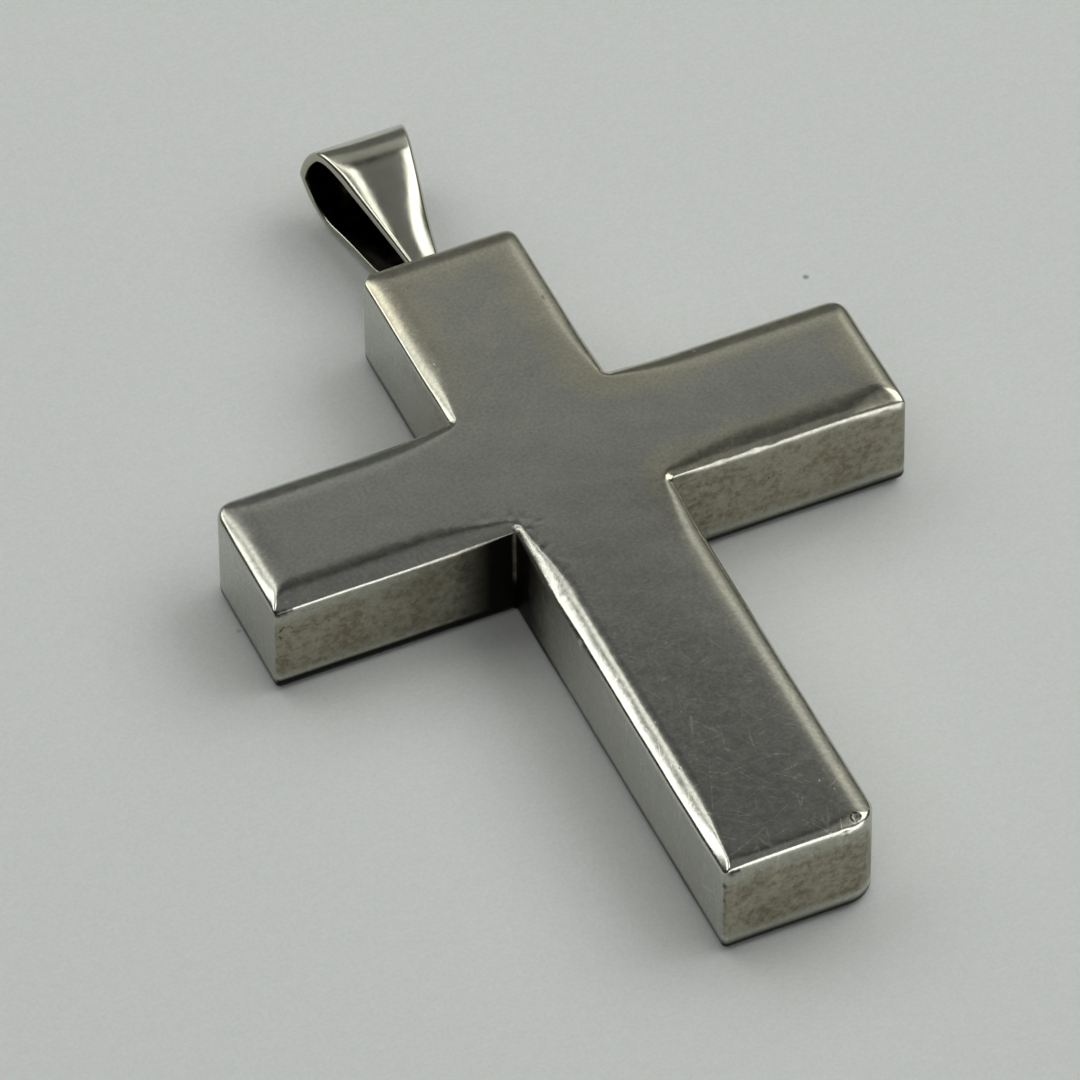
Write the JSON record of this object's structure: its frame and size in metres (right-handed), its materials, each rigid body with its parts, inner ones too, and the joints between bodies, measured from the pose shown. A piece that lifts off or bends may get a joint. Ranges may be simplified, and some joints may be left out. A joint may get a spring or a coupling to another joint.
{
  "type": "cross pendant",
  "caption": "Thick latin cross pendant with rolled front edges and a folded, tapered strap bail for a chain.",
  "frame": {"origin": "under the middle of the crossing, on the flat back face", "axes": "+Y up the stem to the bail, +X across the arms, +Z out of the front face; the part lies on its back on z = 0"},
  "size_m": [0.032, 0.0507, 0.0058],
  "materials": {
    "cast_silver": "worn satin silver, finely scratched, with dark tarnish in the pitted side walls",
    "strap_silver": "polished silver strap, blackened inside the loop"
  },
  "bodies": {
    "root": {"cross": "cast_silver", "bail": "strap_silver"}
  },
  "joints": []
}
